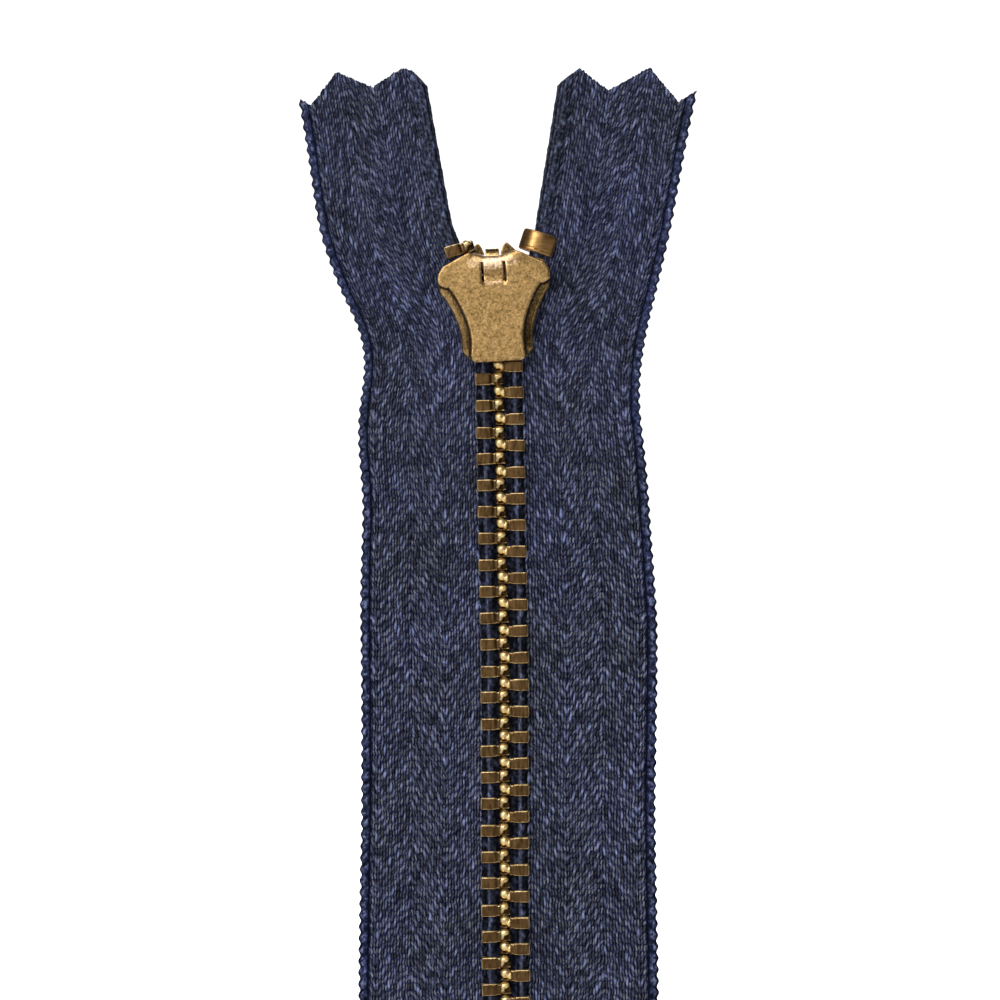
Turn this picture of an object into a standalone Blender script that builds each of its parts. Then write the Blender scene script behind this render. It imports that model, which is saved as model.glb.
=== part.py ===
"""Closed-end brass trouser zipper, with an automatic-locking slider.

+Z runs up along the chain from the closed end to the open end, +X is to the right and -Y faces
the viewer, who looks at the back of the slider. The origin lies on the centre line at the closed
end, in the middle of the bottom stop. Everything is in metres.
"""
import math

import bmesh
import bpy
from mathutils import Matrix, Vector

MM = 0.001
SIDES = (("left", -1), ("right", 1))

# chain
PITCH = 2.6 * MM  # from one tooth to the next on the same tape
TOOTH_HEIGHT = 1.12 * MM
LEG_THICKNESS = 2.4 * MM  # across the tape, the two legs that grip the bead
HEAD_THICKNESS = 1.7 * MM
LEG_INNER = -0.9 * MM  # distances from the middle of the bead, outwards along the tape
LEG_OUTER = 1.02 * MM
HEAD_TIP = -1.82 * MM
HEAD_ROOT = -0.8 * MM
FIRST_TOOTH = {"left": 2.0 * MM, "right": 3.3 * MM}  # the right side is half a pitch later
TEETH = {"left": 39, "right": 38}
ROW_LENGTHS = (6, 6, 6, 6, 5)  # teeth in each row above the end tooth, then what is left

# the line that each bead follows: straight, splayed inside the slider, then easing off above it
BEAD_X = 1.4 * MM
BEAD_RADIUS = 0.8 * MM
SPLAY_START, SPLAY_FULL = 90.5 * MM, 93.5 * MM
EASE_START, EASE_END = 99.7 * MM, 103.3 * MM
SPLAY_ANGLE = math.radians(17.5)
OPEN_ANGLE = math.radians(9.6)
PATH_STEP = 0.1 * MM

# tape
TAPE_THICKNESS = 0.56 * MM
TAPE_GAP = 1.1 * MM  # from the middle of the bead to the tape's woven ground
FOOT_END = -15.0 * MM
FOOT_SPLIT = 3.6 * MM  # where the slider divides the chain in its lowest place
TOP_SPLIT = 91.5 * MM  # and in its highest
SPLIT_GAP = 0.1 * MM
OUTER_EDGE = (  # the selvage, as z and distance from the centre line, up to the pinked end
    (-15.0, 14.6), (27.0, 14.65), (75.0, 13.85), (84.0, 13.95), (88.0, 13.55), (90.7, 13.75),
    (95.3, 14.95), (99.7, 16.65), (103.8, 17.55), (114.0, 19.1),
)
PINKED_TOP = ((19.65, 115.5), (18.0, 114.9), (15.4, 118.2), (11.6, 116.4), (8.9, 118.3))
PINKED_FOOT = ((2.5, -14.2), (5.0, -16.0), (8.2, -14.2), (11.4, -16.0))
CORD_TOP_END = 117.0 * MM
CORD_FOOT_END = -14.6 * MM

# stops
STOP_HEIGHT = 2.06 * MM
STOP_THICKNESS = 2.7 * MM
STOP_BORE = 0.9 * MM
STOP_SLOT = 0.72 * MM
TOP_STOP_AT = 101.7 * MM  # along the bead's line
TOP_STOP_SPAN = (-1.95 * MM, 1.4 * MM)
BOTTOM_STOP_WIDTH = 5.4 * MM

# slider, in its own frame: u to the right, w up from its bottom edge, y towards the garment's face
SLIDER_AT = Vector((-0.1 * MM, 0.0, 89.5 * MM))
SLIDER_TILT = math.radians(-1.55)
PLATE_OUTER = 2.15 * MM
PLATE_INNER = 1.35 * MM
TAPE_SLOT = 1.0 * MM
PLATE_OUTLINE = (  # right half, from the bottom edge up
    (2.3, 0.0), (2.95, 0.6), (3.53, 1.2), (3.55, 2.7), (3.8, 3.9), (4.25, 5.1), (4.85, 6.3),
    (5.35, 7.1), (5.45, 7.9), (5.4, 9.05), (4.7, 9.8), (2.4, 10.85),
)
CHANNEL_OUTER = ((2.85, -1.0), (2.85, 1.8), (3.3, 4.0), (4.75, 8.3), (6.0, 12.0))
WEDGE = ((0.08, 6.2), (0.65, 8.2), (1.0, 9.3), (1.0, 12.0))
LUG_OUTLINE = ((0.8, 8.4), (2.2, 8.4), (2.45, 10.3), (1.4, 11.75), (0.8, 11.0))
LUG_TOP = 4.6 * MM
PIVOT_Y = 3.7 * MM
PIVOT_W = 10.1 * MM
PIN_RADIUS = 0.45 * MM
PIN_LENGTH = 5.3 * MM
LUG_BORE = 0.5 * MM
LOCK_WINDOW = ((1.4, 2.9), (2.45, 4.05))

# pull tab, hanging from the pin
EYE_RADIUS = 1.0 * MM
EYE_BORE = 0.52 * MM
EYE_WIDTH = 1.3 * MM
TAB_THICKNESS = 0.9 * MM
TAB_OUTLINE = (  # right half, below the pin
    (0.65, -0.6), (0.65, -2.3), (2.3, -3.4), (2.9, -16.5), (2.6, -18.6), (1.6, -19.7), (0.0, -20.1),
)
TAB_HOLE_W = -15.6 * MM
TAB_HOLE_RADIUS = 1.5 * MM

# lock pawl: a sprung leaf whose prong drops between two teeth
PAWL_PIVOT = (2.65 * MM, 8.1 * MM)
PAWL_FACE = (2.45 * MM, 2.8 * MM)
PAWL_OUTLINE = ((-0.5, 8.3), (-0.5, 3.1), (2.25, 3.1), (2.25, 3.85), (0.5, 3.85), (0.5, 8.3))
PRONG = ((1.6, 3.15), (2.2, 3.8))
PRONG_TIP = 0.95 * MM

ROUND_SIDES = 20


def make_collection(name):
    collection = bpy.data.collections.new(name)
    bpy.context.scene.collection.children.link(collection)
    return collection


def make_material(name, colour, roughness, metallic):
    material = bpy.data.materials.new(name)
    material.use_nodes = True
    shader = material.node_tree.nodes["Principled BSDF"]
    shader.inputs["Base Color"].default_value = (*colour, 1.0)
    shader.inputs["Roughness"].default_value = roughness
    shader.inputs["Metallic"].default_value = metallic
    material.diffuse_color = (*colour, 1.0)
    return material


def add_object(name, data, collection, parent=None):
    item = bpy.data.objects.new(name, data)
    collection.objects.link(item)
    item.parent = parent
    return item


def in_metres(points):
    return [(a * MM, b * MM) for a, b in points]


def both_halves(points):
    """A closed outline from its right half, listed upwards or downwards."""
    mirrored = [(-u, w) for u, w in reversed(points) if abs(u) > 1e-9]
    return list(points) + mirrored


def flat_piece(name, outline, front, back, collection, parent=None):
    """An outline in the XZ plane made solid between two values of y, as a welded mesh."""
    curve = bpy.data.curves.new(name, "CURVE")
    curve.dimensions = "2D"
    curve.fill_mode = "BOTH"
    curve.render_resolution_u = 0
    curve.extrude = (back - front) / 2
    spline = curve.splines.new("POLY")
    spline.points.add(len(outline) - 1)
    for point, (u, w) in zip(spline.points, outline):
        point.co = (u, w, 0.0, 1.0)
    spline.use_cyclic_u = True
    turn = Matrix.Translation((0, (front + back) / 2, 0)) @ Matrix.Rotation(math.pi / 2, 4, "X")
    return as_mesh(name, curve, turn, collection, parent)


def tube(name, points, radius, collection, parent=None):
    curve = bpy.data.curves.new(name, "CURVE")
    curve.dimensions = "3D"
    curve.bevel_depth = radius
    curve.bevel_resolution = 2
    curve.render_resolution_u = 0
    curve.use_fill_caps = True
    spline = curve.splines.new("POLY")
    spline.points.add(len(points) - 1)
    for point, place in zip(spline.points, points):
        point.co = (*place, 1.0)
    return as_mesh(name, curve, Matrix.Identity(4), collection, parent)


def as_mesh(name, curve, turn, collection, parent):
    """The curve's surface as a mesh with its caps welded on."""
    source = bpy.data.objects.new(name + "_curve", curve)
    bpy.context.scene.collection.objects.link(source)
    depsgraph = bpy.context.evaluated_depsgraph_get()
    mesh = bpy.data.meshes.new_from_object(source.evaluated_get(depsgraph))
    bpy.data.objects.remove(source)
    shape = bmesh.new()
    shape.from_mesh(mesh)
    bmesh.ops.remove_doubles(shape, verts=shape.verts, dist=0.001 * MM)
    bmesh.ops.recalc_face_normals(shape, faces=shape.faces)
    shape.transform(turn)
    shape.to_mesh(mesh)
    shape.free()
    mesh.name = name
    return add_object(name, mesh, collection, parent)


def boxes(name, placed, collection, parent=None):
    """Separate boxes in one mesh; each is a matrix, a low corner and a high corner."""
    shape = bmesh.new()
    for place, low, high in placed:
        size = [b - a for a, b in zip(low, high)]
        middle = [(a + b) / 2 for a, b in zip(low, high)]
        cube = bmesh.ops.create_cube(shape, size=1.0)
        stretch = Matrix.Translation(middle) @ Matrix.Diagonal((*size, 1.0))
        bmesh.ops.transform(shape, matrix=place @ stretch, verts=cube["verts"])
    mesh = bpy.data.meshes.new(name)
    shape.to_mesh(mesh)
    shape.free()
    return add_object(name, mesh, collection, parent)


def rod(name, radius, length, middle, collection, parent=None):
    """A cylinder along X."""
    shape = bmesh.new()
    turn = Matrix.Translation(middle) @ Matrix.Rotation(math.pi / 2, 4, "Y")
    bmesh.ops.create_cone(
        shape, cap_ends=True, segments=ROUND_SIDES, radius1=radius, radius2=radius, depth=length, matrix=turn
    )
    mesh = bpy.data.meshes.new(name)
    shape.to_mesh(mesh)
    shape.free()
    return add_object(name, mesh, collection, parent)


def boolean(target, operand, operation):
    """Join or cut with an operand, which is kept as a wireframe guide."""
    modifier = target.modifiers.new(operand.name, "BOOLEAN")
    modifier.operation = operation
    modifier.solver = "EXACT"
    modifier.object = operand
    operand.hide_render = True
    operand.display_type = "WIRE"


def soften(target, width, material):
    bevel = target.modifiers.new("edges", "BEVEL")
    bevel.width = width
    bevel.segments = 1
    bevel.limit_method = "ANGLE"
    bevel.angle_limit = math.radians(40)
    target.data.materials.append(material)


def eased(value, start, end):
    t = min(max((value - start) / (end - start), 0.0), 1.0)
    return t * t * (3 - 2 * t)


def heading(s):
    """How far the bead leans outwards at the length s along it."""
    into = eased(s, SPLAY_START, SPLAY_FULL)
    out = eased(s, EASE_START, EASE_END)
    return SPLAY_ANGLE * into + (OPEN_ANGLE - SPLAY_ANGLE) * out


def bead_point(s):
    """Distance from the centre line, height and heading at the length s along the bead."""
    x, z = BEAD_X, min(s, SPLAY_START)
    steps = math.ceil(max(s - SPLAY_START, 0.0) / PATH_STEP)
    for k in range(steps):
        span = (s - SPLAY_START) / steps
        lean = heading(SPLAY_START + (k + 0.5) * span)
        x += math.sin(lean) * span
        z += math.cos(lean) * span
    return x, z, heading(s)


def on_bead(side, s):
    """The frame at s: local X points from the chain to the selvage, and local Z up along the bead."""
    x, z, lean = bead_point(s)
    return Matrix.Translation((side * x, 0, z)) @ Matrix.Rotation(side * lean, 4, "Y")


def cord_points(side, start, end):
    """The ends of a straight cord, with points in between where it bends."""
    lengths = [start, end]
    if end > SPLAY_START:
        count = max(2, math.ceil((end - max(start, SPLAY_START)) / (PITCH / 2)))
        first = max(start, SPLAY_START)
        lengths = sorted({start, *(first + k * (end - first) / count for k in range(count + 1))})
    return [on_bead(side, s).translation for s in lengths]


def across(side, low, high):
    """Two distances outwards from the bead as a low and a high x on this side."""
    return sorted((side * low, side * high))


def tooth_row(name, side, lengths, start, end):
    """Teeth gripping one stretch of bead cord, from start to end along it."""
    row = tube(name, cord_points(side, start, end), BEAD_RADIUS, parts)
    half = TOOTH_HEIGHT / 2
    legs, heads = [], []
    for s in lengths:
        place = on_bead(side, s)
        low, high = across(side, LEG_INNER, LEG_OUTER)
        legs.append((place, (low, -LEG_THICKNESS / 2, -half), (high, LEG_THICKNESS / 2, half)))
        low, high = across(side, HEAD_TIP, HEAD_ROOT)
        heads.append((place, (low, -HEAD_THICKNESS / 2, -half * 0.9), (high, HEAD_THICKNESS / 2, half * 0.9)))
    boolean(row, boxes(name + "_legs", legs, cutters), "UNION")
    boolean(row, boxes(name + "_heads", heads, cutters), "UNION")
    row.data.materials.append(tooth_brass)
    return row


def side_teeth(label, side):
    """Every row of one side, from the end tooth to the splayed row inside the slider."""
    lengths = [FIRST_TOOTH[label] + k * PITCH for k in range(TEETH[label])]
    edge = SPLIT_GAP / 2
    end = lengths[0] + PITCH / 2
    tooth_row(f"{label}_end_tooth", side, lengths[:1], STOP_HEIGHT / 2 + edge, end - edge)
    start = end + edge
    below = [s for s in lengths[1:] if s < TOP_SPLIT]
    above = [s for s in lengths[1:] if s > TOP_SPLIT]
    groups = []
    for count in (*ROW_LENGTHS, len(below)):
        groups.append(below[:count])
        below = below[count:]
    groups.append(above)
    for number, group in enumerate(groups, 1):
        last = number == len(groups)
        end = group[-1] + (TOOTH_HEIGHT * 0.6 if last else PITCH / 2 - edge)
        name = f"{label}_teeth_in_slider" if last else f"{label}_teeth_row_{number}"
        tooth_row(name, side, group, start, end)
        start = end + 2 * edge
    cord = tube(f"{label}_bead_cord_top", cord_points(side, start, CORD_TOP_END), BEAD_RADIUS, parts)
    cord.data.materials.append(cord_navy)
    foot = tube(
        f"{label}_bead_cord_foot", cord_points(side, CORD_FOOT_END, STOP_HEIGHT / 2 - edge), BEAD_RADIUS, parts
    )
    foot.data.materials.append(cord_navy)


def selvage_at(z):
    """Distance from the centre line to the selvage at the height z."""
    points = in_metres((x, z) for z, x in OUTER_EDGE)
    for (x0, z0), (x1, z1) in zip(points, points[1:]):
        if z <= z1:
            return x0 + (x1 - x0) * (z - z0) / (z1 - z0)
    return points[-1][0]


def tape_edges(low, high):
    """The inner edge going up and the selvage coming down, between two heights."""
    between = [(x * MM, z * MM) for z, x in OUTER_EDGE if low < z * MM < high]
    selvage = [(selvage_at(high), high), *reversed(between), (selvage_at(low), low)]
    return [(BEAD_X + TAPE_GAP, low), (BEAD_X + TAPE_GAP, high)], selvage


def tape(name, side, outline):
    """One stretch of tape; its outline is given for the right side."""
    points = [(side * x, z) for x, z in outline]
    piece = flat_piece(name, points, -TAPE_THICKNESS / 2, TAPE_THICKNESS / 2, parts)
    piece.data.materials.append(tape_navy)


def side_tapes(label, side):
    gap = SPLIT_GAP / 2
    inner, selvage = tape_edges(-14.9 * MM, FOOT_SPLIT - gap)
    foot = [*in_metres(PINKED_FOOT[:1]), inner[1], *selvage, *reversed(in_metres(PINKED_FOOT[1:]))]
    tape(f"{label}_tape_foot", side, foot)
    inner, selvage = tape_edges(FOOT_SPLIT + gap, TOP_SPLIT - gap)
    tape(f"{label}_tape_main", side, [*inner, *selvage])
    inner, selvage = tape_edges(TOP_SPLIT + gap, 114.0 * MM)
    count = 12
    lengths = [TOP_SPLIT + 0.5 * MM + k * (CORD_TOP_END - TOP_SPLIT - 1.0 * MM) / count for k in range(count + 1)]
    inner = inner[:1]
    for s in lengths:
        x, z, lean = bead_point(s)
        inner.append((x + TAPE_GAP * math.cos(lean), z - TAPE_GAP * math.sin(lean)))
    tape(f"{label}_tape_top", side, [*inner, *reversed(in_metres(PINKED_TOP)), *selvage])


def clamp_cutters(name, place, bead, side):
    """The bore for a bead and the slot for the tape beside it, along the local Z axis."""
    shape = bmesh.new()
    tall = STOP_HEIGHT * 2
    bmesh.ops.create_cone(
        shape, cap_ends=True, segments=ROUND_SIDES, radius1=STOP_BORE, radius2=STOP_BORE, depth=tall,
        matrix=place @ Matrix.Translation((bead, 0, 0)),
    )
    mesh = bpy.data.meshes.new(name)
    shape.to_mesh(mesh)
    shape.free()
    bore = add_object(name + "_bore", mesh, cutters)
    low, high = sorted((bead, bead + side * 5 * MM))
    slot = boxes(
        name + "_slot", [(place, (low, -STOP_SLOT / 2, -tall / 2), (high, STOP_SLOT / 2, tall / 2))], cutters
    )
    return bore, slot


def build_stops():
    bottom = boxes(
        "bottom_stop",
        [(
            Matrix.Identity(4),
            (-BOTTOM_STOP_WIDTH / 2, -STOP_THICKNESS / 2, -STOP_HEIGHT / 2),
            (BOTTOM_STOP_WIDTH / 2, STOP_THICKNESS / 2, STOP_HEIGHT / 2),
        )],
        parts,
    )
    soften(bottom, 0.35 * MM, stop_brass)
    for label, side in SIDES:
        for cutter in clamp_cutters(f"bottom_stop_{label}", Matrix.Identity(4), side * BEAD_X, side):
            boolean(bottom, cutter, "DIFFERENCE")
    place = on_bead(1, TOP_STOP_AT)
    low, high = TOP_STOP_SPAN
    top = boxes(
        "right_top_stop",
        [(place, (low, -STOP_THICKNESS / 2, -STOP_HEIGHT / 2), (high, STOP_THICKNESS / 2, STOP_HEIGHT / 2))],
        parts,
    )
    soften(top, 0.5 * MM, stop_brass)
    for cutter in clamp_cutters("right_top_stop", place, 0.0, 1):
        boolean(top, cutter, "DIFFERENCE")


def build_slider():
    """A pressed brass body: two plates joined by the wedge that parts the chain, and two lugs."""
    frame = add_object("slider_frame", None, parts)
    frame.location = SLIDER_AT
    frame.rotation_euler = (0, SLIDER_TILT, 0)
    outline = both_halves(in_metres(PLATE_OUTLINE))
    body = flat_piece("slider_body", outline, -PLATE_OUTER, PLATE_OUTER, parts, frame)
    for label, side in SIDES:
        flange = in_metres(CHANNEL_OUTER)
        wedge = in_metres(WEDGE)
        middle = [(-0.05 * MM, wedge[0][1]), (-0.05 * MM, flange[0][1])]
        channel = [(side * u, w) for u, w in [*flange, *reversed(wedge), *middle]]
        space = flat_piece(f"channel_{label}", channel, -PLATE_INNER, PLATE_INNER, cutters, frame)
        boolean(body, space, "DIFFERENCE")
        low, high = sorted((side * 1.2 * MM, side * 7 * MM))
        slot = ((low, -TAPE_SLOT / 2, -1 * MM), (high, TAPE_SLOT / 2, 12 * MM))
        boolean(body, boxes(f"tape_slot_{label}", [(Matrix.Identity(4), *slot)], cutters, frame), "DIFFERENCE")
        ear = [(side * u, w) for u, w in in_metres(LUG_OUTLINE)]
        lug = flat_piece(f"lug_{label}", ear, PLATE_OUTER - 0.3 * MM, LUG_TOP, cutters, frame)
        boolean(body, lug, "UNION")
    pivot = Vector((0, PIVOT_Y, PIVOT_W))
    boolean(body, rod("pin_bore", LUG_BORE, 2 * PIN_LENGTH, pivot, cutters, frame), "DIFFERENCE")
    (u0, w0), (u1, w1) = in_metres(LOCK_WINDOW)
    window = ((u0, PLATE_INNER - 0.4 * MM, w0), (u1, PLATE_OUTER + 0.4 * MM, w1))
    boolean(body, boxes("lock_window", [(Matrix.Identity(4), *window)], cutters, frame), "DIFFERENCE")
    body.data.materials.append(slider_brass)
    pin = rod("pull_pivot_pin", PIN_RADIUS, PIN_LENGTH, pivot, parts, frame)
    pin.data.materials.append(slider_brass)
    return frame


def build_pull(slider_frame):
    """The tab, its eye and its hole; its parent empty lies on the pivot pin."""
    hinge = add_object("pull_hinge", None, parts, slider_frame)
    hinge.location = (0, PIVOT_Y, PIVOT_W)
    half = TAB_THICKNESS / 2
    tab = flat_piece("pull_tab", both_halves(in_metres(TAB_OUTLINE)), -half, half, parts, hinge)
    boolean(tab, rod("pull_eye", EYE_RADIUS, EYE_WIDTH, (0, 0, 0), cutters, hinge), "UNION")
    boolean(tab, rod("pull_eye_bore", EYE_BORE, 4 * EYE_WIDTH, (0, 0, 0), cutters, hinge), "DIFFERENCE")
    count = 16
    ring = [2 * math.pi * k / count for k in range(count)]
    hole = [(TAB_HOLE_RADIUS * math.cos(a), TAB_HOLE_W + TAB_HOLE_RADIUS * math.sin(a)) for a in ring]
    boolean(tab, flat_piece("pull_hole", hole, -2 * half, 2 * half, cutters, hinge), "DIFFERENCE")
    tab.data.materials.append(slider_brass)


def build_pawl(slider_frame):
    """The locking leaf; its parent empty lies where it bends."""
    hinge = add_object("pawl_hinge", None, parts, slider_frame)
    y, w = PAWL_PIVOT
    hinge.location = (0, y, w)
    outline = [(u, v - w) for u, v in in_metres(PAWL_OUTLINE)]
    pawl = flat_piece("lock_pawl", outline, PAWL_FACE[0] - y, PAWL_FACE[1] - y, parts, hinge)
    (u0, w0), (u1, w1) = in_metres(PRONG)
    prong = ((u0, PRONG_TIP - y, w0 - w), (u1, PAWL_FACE[1] - y - 0.1 * MM, w1 - w))
    boolean(pawl, boxes("pawl_prong", [(Matrix.Identity(4), *prong)], cutters, hinge), "UNION")
    pawl.data.materials.append(pawl_steel)


for leftover in list(bpy.data.objects):
    bpy.data.objects.remove(leftover)
bpy.context.scene.unit_settings.length_unit = "MILLIMETERS"
parts = make_collection("Zipper")
cutters = make_collection("Zipper cutters")
tape_navy = make_material("tape_cloth", (0.028, 0.038, 0.09), 0.9, 0.0)
cord_navy = make_material("bead_cord", (0.02, 0.027, 0.065), 0.9, 0.0)
tooth_brass = make_material("tooth_brass", (0.42, 0.27, 0.11), 0.35, 1.0)
slider_brass = make_material("slider_brass", (0.5, 0.36, 0.17), 0.4, 1.0)
stop_brass = make_material("stop_brass", (0.4, 0.24, 0.1), 0.32, 1.0)
pawl_steel = make_material("pawl_steel", (0.5, 0.5, 0.5), 0.3, 1.0)
for label, side in SIDES:
    side_teeth(label, side)
    side_tapes(label, side)
build_stops()
slider = build_slider()
build_pull(slider)
build_pawl(slider)
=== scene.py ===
"""Looks for the brass trouser zipper: woven tapes, bead cords, cast teeth, stops and slider.

Lengths are in millimetres, and MM turns them into metres, except in the materials and the studio,
which are in metres. Left and right are the viewer's, who looks at the slider's back along +Y.
"""
import math

import bmesh
import bpy
import numpy as np
from mathutils import Matrix, Vector


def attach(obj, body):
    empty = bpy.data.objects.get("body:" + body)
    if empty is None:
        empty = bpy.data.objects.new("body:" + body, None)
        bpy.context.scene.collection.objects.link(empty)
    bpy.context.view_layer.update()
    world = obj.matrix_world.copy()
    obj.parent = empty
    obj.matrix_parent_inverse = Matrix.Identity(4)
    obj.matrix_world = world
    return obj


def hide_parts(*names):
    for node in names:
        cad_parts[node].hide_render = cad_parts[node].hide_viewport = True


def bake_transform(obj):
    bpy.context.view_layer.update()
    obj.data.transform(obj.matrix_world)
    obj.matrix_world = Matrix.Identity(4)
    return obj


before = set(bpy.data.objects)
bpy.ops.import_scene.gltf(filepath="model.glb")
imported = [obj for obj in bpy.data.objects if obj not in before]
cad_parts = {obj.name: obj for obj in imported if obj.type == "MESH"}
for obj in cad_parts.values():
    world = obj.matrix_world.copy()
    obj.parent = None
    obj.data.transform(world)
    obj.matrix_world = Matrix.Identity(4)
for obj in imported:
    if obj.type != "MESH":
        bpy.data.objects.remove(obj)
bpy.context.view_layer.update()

MM = 0.001
SIDES = (("left", -1), ("right", 1))
RNG = np.random.default_rng(7)
TONES = RNG.random((61, 211))  # the one store of random values that the cloth looks up

# The line that each bead follows, as in the CAD (mm)
PITCH = 2.6
BEAD_X = 1.4
BEAD_RADIUS = 0.8
SPLAY_START, SPLAY_FULL = 90.5, 93.5
EASE_START, EASE_END = 99.7, 103.3
SPLAY_ANGLE = math.radians(17.5)
OPEN_ANGLE = math.radians(9.6)
FIRST_TOOTH = {"left": 2.0, "right": 3.3}
TEETH = {"left": 39, "right": 38}
STOP_HEIGHT = 2.06
TOP_STOP_AT = 101.5
TOP_STOP_TURN = math.radians(5)
CRIMP_RADIUS = 0.86  # a stop's bore round the cord
CRIMP_GAP = 0.4  # half the slot that the tape leaves by
OPEN_SPREAD = {"left": 0.6, "right": 0.0}  # one open end lies further out than the other

# Stretches of the chain between two bodies (mm up the chain)
FOOT_BEND = (-4.4, 11.6)
TOP_BEND = (84.0, 99.0)
JOIN_AT = 20.0  # the lower and the upper stretch of each tape meet here, in a straight part

# Tape (mm)
TAPE_HALF = 0.2
RELIEF = 0.15
WARP = 0.293
WEFT = 0.607
BAND_COLUMNS = 12  # warp ends between two turns of the herringbone
BAND_START = 0.66
TAPE_START_N = 0.45  # where the woven ground leaves the bead
TAPE_WIDTH = 12.9
SELVAGE_WIDTH = 0.95
SELVAGE_PITCH = 1.13
SAMPLES_PER_WARP = 5
SAMPLES_PER_WEFT = 5

# Height and distance from the centre line of each tape's outer edge (mm)
SELVAGE = {
    "left": (
        (-17.0, 14.5), (30.0, 14.45), (45.0, 14.05), (66.0, 14.05), (76.0, 13.55), (82.0, 14.0),
        (85.0, 13.86), (88.0, 13.2), (91.0, 13.12), (93.7, 13.88), (96.7, 15.5), (99.6, 16.5),
        (102.6, 17.5), (111.4, 18.65), (118.0, 19.7),
    ),
    "right": (
        (-17.0, 14.8), (30.0, 14.95), (45.0, 14.75), (64.0, 15.05), (79.0, 14.3), (84.7, 13.68),
        (87.6, 13.8), (90.5, 14.22), (93.5, 14.83), (96.4, 15.64), (99.4, 16.35), (102.3, 17.06),
        (105.2, 17.6), (111.0, 18.7), (118.0, 20.2),
    ),
}

# The zigzag cuts at both ends: distance from the centre line and height (mm)
PINKED_TOP = {
    "left": (
        (5.6, 115.2), (6.4, 116.8), (8.1, 118.3), (9.26, 118.4), (12.1, 116.65), (15.6, 118.15),
        (18.1, 114.9), (21.0, 116.6),
    ),
    "right": (
        (4.0, 115.0), (6.2, 117.0), (8.3, 118.3), (11.1, 116.1), (15.2, 118.3), (17.9, 114.9),
        (21.0, 116.6),
    ),
}
PINKED_FOOT = ((-1.0, -15.9), (1.9, -14.2), (5.1, -16.0), (8.3, -14.2), (11.5, -16.0), (15.2, -14.2))


# ---------------------------------------------------------------- meshes

def eased(value, start, end):
    t = np.clip((np.asarray(value, float) - start) / (end - start), 0.0, 1.0)
    return t * t * (3 - 2 * t)


PATH_STEP = 0.05
PATH_S = np.arange(SPLAY_START, 125.0, PATH_STEP)
PATH_LEAN = SPLAY_ANGLE * eased(PATH_S, SPLAY_START, SPLAY_FULL) + (OPEN_ANGLE - SPLAY_ANGLE) * eased(
    PATH_S, EASE_START, EASE_END
)
PATH_X = BEAD_X + np.concatenate([[0.0], np.cumsum(np.sin(PATH_LEAN[:-1]) * PATH_STEP)])
PATH_Z = SPLAY_START + np.concatenate([[0.0], np.cumsum(np.cos(PATH_LEAN[:-1]) * PATH_STEP)])


def bead(label, s):
    """Distance from the centre line, height and outward lean at lengths s along the bead, in mm."""
    s = np.asarray(s, float)
    x = np.interp(s, PATH_S, PATH_X) + OPEN_SPREAD[label] * eased(s, 99.5, 104.5)
    z = np.where(s < SPLAY_START, s, np.interp(s, PATH_S, PATH_Z))
    return x, z, np.interp(s, PATH_S, PATH_LEAN)


def bowed(points):
    """The chain never lies quite straight: a slow sideways bow of a fifth of a millimetre."""
    z = points[..., 2]
    bow = 0.17 * np.exp(-(((z - 60.0) / 13.0) ** 2)) - 0.12 * eased(z, 82.0, 92.0)
    return points + np.stack([bow, 0 * bow, 0 * bow], -1)


def mesh_object(name, points, faces, smooth=True):
    """An object from points in mm and a list or array of faces."""
    mesh = bpy.data.meshes.new(name)
    mesh.from_pydata((np.asarray(points, float) * MM).tolist(), [], [tuple(f) for f in faces])
    mesh.update()
    if smooth:
        mesh.shade_smooth()
        mesh.set_sharp_from_angle(angle=math.radians(55))
    item = bpy.data.objects.new(name, mesh)
    bpy.context.scene.collection.objects.link(item)
    return item


def grid_faces(rows, columns, first=0, flip=False, wrap=False):
    """Quads of a grid of rows by columns points; wrap closes each row on itself."""
    r = np.arange(rows - 1)[:, None]
    c = np.arange(columns if wrap else columns - 1)[None, :]
    d = (c + 1) % columns
    quads = np.stack([r * columns + c, r * columns + d, (r + 1) * columns + d, (r + 1) * columns + c], -1)
    quads = quads.reshape(-1, 4) + first
    return quads[:, ::-1] if flip else quads


def shell_faces(rows, columns):
    """A closed clam shell: a front grid, a back grid in the same order, and the rim between them."""
    count = rows * columns
    front = grid_faces(rows, columns)
    back = grid_faces(rows, columns, count, flip=True)
    rim = np.concatenate([
        np.arange(columns), np.arange(1, rows) * columns + columns - 1,
        (rows - 1) * columns + np.arange(columns - 2, -1, -1), np.arange(rows - 2, 0, -1) * columns,
    ])
    after = np.roll(rim, -1)
    wall = np.stack([after, rim, rim + count, after + count], -1)
    return np.concatenate([front, back, wall])


def float_attribute(item, name, values):
    attribute = item.data.attributes.new(name, "FLOAT", "POINT")
    attribute.data.foreach_set("value", np.asarray(values, np.float32).ravel())


# ---------------------------------------------------------------- materials

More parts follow.
